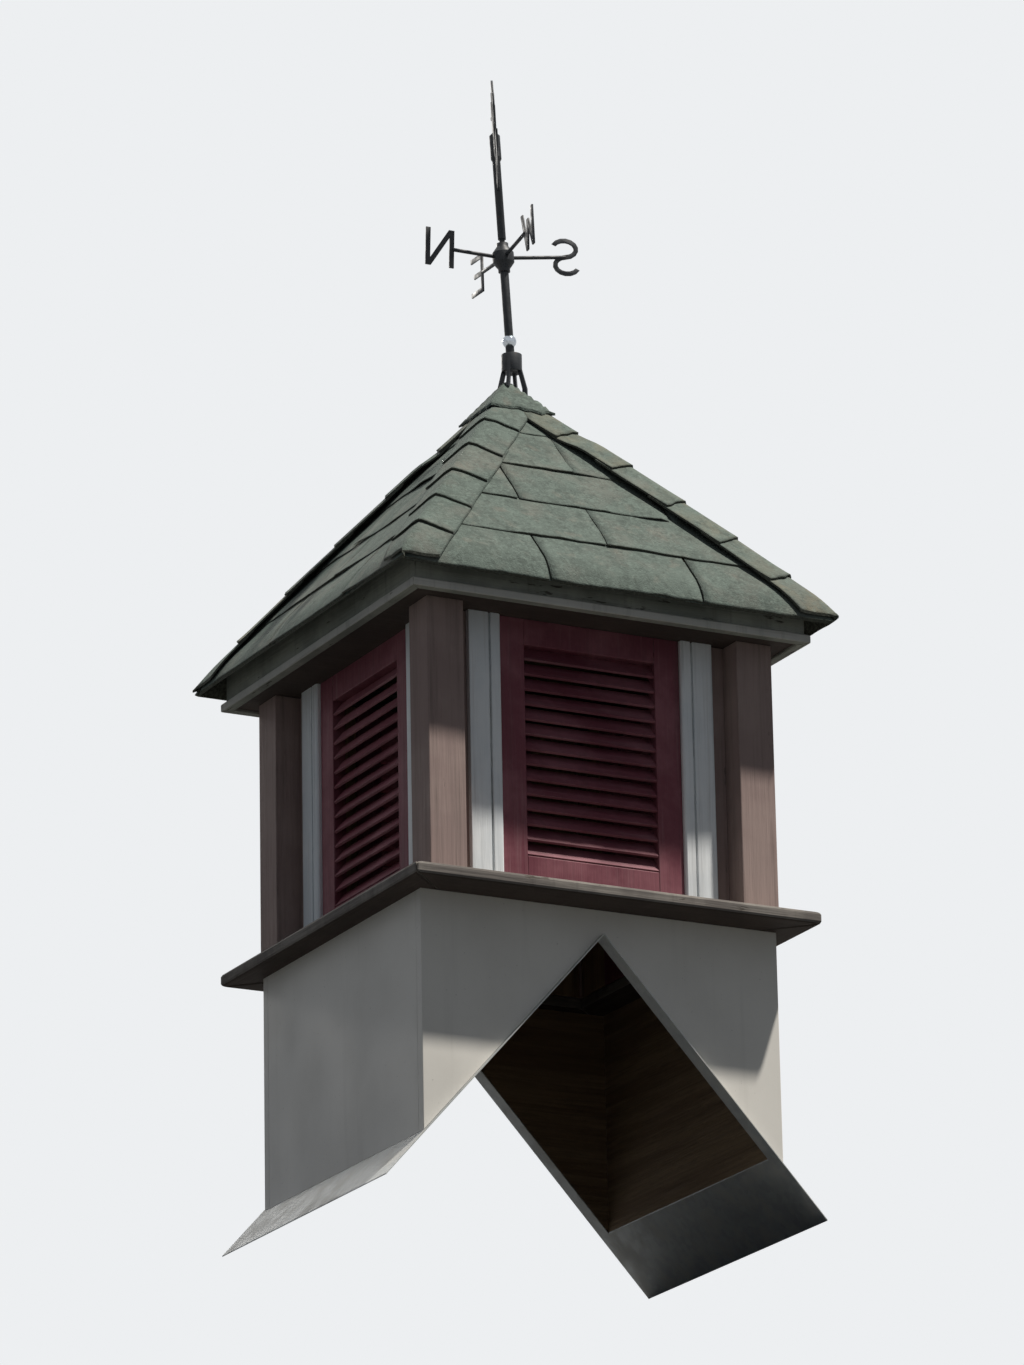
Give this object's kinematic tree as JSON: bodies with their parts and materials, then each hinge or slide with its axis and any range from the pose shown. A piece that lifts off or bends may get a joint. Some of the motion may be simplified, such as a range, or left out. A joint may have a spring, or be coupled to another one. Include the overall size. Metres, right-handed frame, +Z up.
{
  "type": "garage roof cupola with weather vane",
  "caption": "Square louvred cupola that straddles a roof ridge, with a shingled hip roof and a weather vane that turns on a mast.",
  "frame": {"origin": "under the centre of the cupola, at the level of the lips of the two side aprons", "axes": "+X to the right, across the ridge; +Y to the back, along the ridge; +Z up"},
  "size_m": [0.877, 0.877, 2.1911],
  "materials": {
    "cream_panel": "smooth cream paint on sheathed boards",
    "zinc_sheet": "dull galvanised sheet",
    "weathered_wood": "weathered grey paint on boards",
    "brown_paint": "faded brown paint",
    "maroon_paint": "maroon paint",
    "white_paint": "white paint",
    "shingles": "mineral granules on asphalt, grey-green",
    "black_iron": "black painted iron",
    "polished_ball": "polished"
  },
  "bodies": {
    "cupola": {"base_front": "cream_panel", "base_back": "cream_panel", "base_left": "cream_panel", "base_right": "cream_panel", "flashing_front": "zinc_sheet", "flashing_back": "zinc_sheet", "apron_left": "zinc_sheet", "apron_right": "zinc_sheet", "shelf_front": "weathered_wood", "shelf_back": "weathered_wood", "shelf_left": "weathered_wood", "shelf_right": "weathered_wood", "post_front_left": "brown_paint", "post_front_right": "brown_paint", "post_back_left": "brown_paint", "post_back_right": "brown_paint", "wall_front": "brown_paint", "wall_back": "brown_paint", "wall_left": "brown_paint", "wall_right": "brown_paint", "louvre_front": "maroon_paint", "louvre_back": "maroon_paint", "louvre_left": "maroon_paint", "louvre_right": "maroon_paint", "trim_front": "white_paint", "trim_back": "white_paint", "trim_left": "white_paint", "trim_right": "white_paint", "soffit": "weathered_wood", "fascia_front": "weathered_wood", "fascia_back": "weathered_wood", "fascia_left": "weathered_wood", "fascia_right": "weathered_wood", "roof_front": "shingles", "roof_back": "shingles", "roof_left": "shingles", "roof_right": "shingles", "hip_caps_front_left": "shingles", "hip_caps_front_right": "shingles", "hip_caps_back_left": "shingles", "hip_caps_back_right": "shingles", "apex_cap": "shingles", "vane_mount": "black_iron", "mast": "black_iron", "mast_ball": "polished_ball", "compass_hub": "black_iron", "compass_rod_ns": "black_iron", "compass_rod_ew": "black_iron"},
    "vane": {"vane_sleeve": "black_iron", "vane_plate": "black_iron"}
  },
  "joints": [
    {"name": "vane_turn", "type": "hinge", "parent": "cupola", "child": "vane", "pos_m": [-0.00318, 0, 1.8896], "axis": [-0.0558, 0, 0.9984], "continuous": true}
  ]
}
